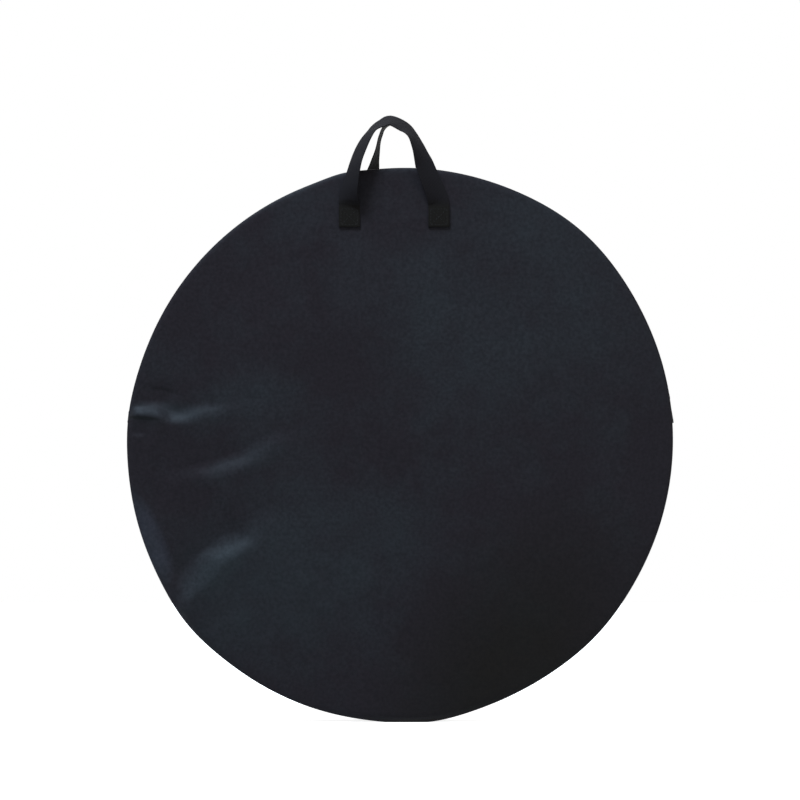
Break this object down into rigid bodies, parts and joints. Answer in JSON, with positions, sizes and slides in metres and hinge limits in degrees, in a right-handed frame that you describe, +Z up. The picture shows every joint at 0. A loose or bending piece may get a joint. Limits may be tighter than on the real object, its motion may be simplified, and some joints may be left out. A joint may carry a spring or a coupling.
{
  "type": "bike wheel bag",
  "caption": "Slim round padded bag for a bicycle wheel, with a zip round its upper half, a front that folds down and a webbing carrying loop on each side.",
  "frame": {"origin": "on the floor, below the middle of the bag's bounding box", "axes": "+Z up, +X to the right as seen from the front, the front panel faces -Y"},
  "size_m": [0.7318, 0.0985, 0.8099],
  "materials": {
    "cloth": "satin",
    "foam": "matte",
    "lining": "satin",
    "webbing": "satin",
    "zip_tape": "matte",
    "zip_coil": "satin",
    "hub_patch": "satin",
    "black_metal": "satin"
  },
  "bodies": {
    "bag": {"back_panel": "cloth", "back_padding": "foam", "back_lining": "lining", "hub_patch_back": "hub_patch", "front_panel": "cloth", "front_padding": "foam", "front_lining": "lining", "hub_patch_front": "hub_patch", "gusset": "cloth", "gusset_lining": "lining", "back_zip_tape": "zip_tape", "back_zip_coil": "zip_coil", "right_zip_end_tape": "zip_tape", "right_zip_end_coil": "zip_coil", "left_zip_end_tape": "zip_tape", "left_zip_end_coil": "zip_coil", "zip_end_tab_right": "webbing", "zip_end_tab_left": "webbing", "zip_top_stop_front": "black_metal", "zip_top_stop_back": "black_metal", "zip_bottom_stop": "black_metal", "back_binding": "webbing", "front_binding": "webbing", "rear_handle_end_left": "webbing", "rear_handle_end_right": "webbing"},
    "flap": {"flap_panel": "cloth", "flap_padding": "foam", "flap_lining": "lining", "flap_binding": "webbing", "front_zip_tape": "zip_tape", "front_zip_coil": "zip_coil", "front_handle_end_left": "webbing", "front_handle_end_right": "webbing"},
    "front_handle": {"front_handle": "webbing"},
    "rear_handle": {"rear_handle": "webbing"},
    "slider": {"zip_slider": "black_metal"},
    "pull": {"pull_tab": "black_metal"}
  },
  "joints": [
    {"name": "front_fold", "type": "hinge", "parent": "bag", "child": "flap", "pos_m": [0, -0.0356, 0.44535], "axis": [1, 0, 0], "range_deg": [0, 150]},
    {"name": "front_handle_swing", "type": "hinge", "parent": "flap", "child": "front_handle", "pos_m": [-0.0084, -0.02918, 0.6861], "axis": [1, 0, 0], "range_deg": [0, 130]},
    {"name": "rear_handle_swing", "type": "hinge", "parent": "bag", "child": "rear_handle", "pos_m": [-0.0084, 0.02918, 0.6861], "axis": [-1, 0, 0], "range_deg": [0, 130]},
    {"name": "zip_travel", "type": "hinge", "parent": "bag", "child": "slider", "pos_m": [0.0025, 0, 0.37385], "axis": [0, -1, 0], "range_deg": [0, 160.77]},
    {"name": "pull_swing", "type": "hinge", "parent": "slider", "child": "pull", "pos_m": [0.35971, 0, 0.43436], "axis": [0, -1, 0], "range_deg": [0, 160]}
  ]
}
